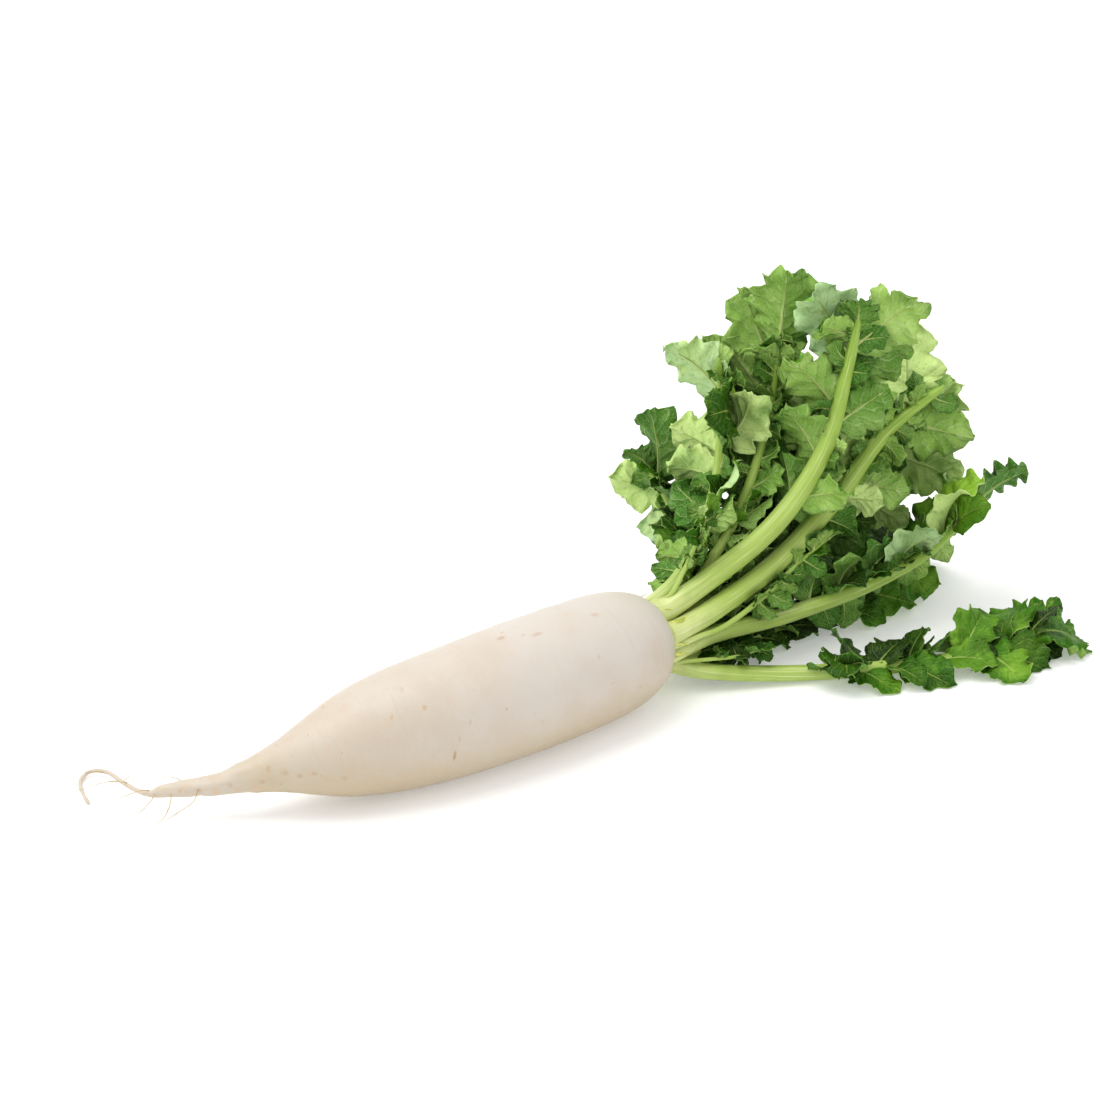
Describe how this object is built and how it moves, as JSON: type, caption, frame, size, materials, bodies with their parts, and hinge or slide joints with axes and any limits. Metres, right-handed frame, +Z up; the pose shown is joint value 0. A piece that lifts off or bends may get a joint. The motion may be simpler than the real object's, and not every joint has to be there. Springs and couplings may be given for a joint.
{
  "type": "radish",
  "caption": "Long white radish lying on its side: a tapering root with a curled tail thread and a rosette of lobed leaves on long stems.",
  "frame": {"origin": "middle of the small flat spot under the belly that the root rests on", "axes": "+X along the root from its tail to its crown, +Y across it, away from the leaf that lies alone on the table, +Z up"},
  "size_m": [0.6007, 0.2747, 0.2311],
  "materials": {
    "root_skin": "smooth moist skin, faintly ringed and specked",
    "leaf_green": "soft satin leaf with pale stem and veins"
  },
  "bodies": {
    "root": {"root": "root_skin", "leaf_floor_near": "leaf_green", "leaf_low_near": "leaf_green", "leaf_thick_near": "leaf_green", "leaf_tall": "leaf_green", "leaf_upright_far": "leaf_green", "leaf_far": "leaf_green", "leaf_floor_far": "leaf_green", "leaf_floor_middle": "leaf_green", "leaf_inner_near": "leaf_green", "leaf_crest": "leaf_green", "leaf_inner_far": "leaf_green"}
  },
  "joints": []
}
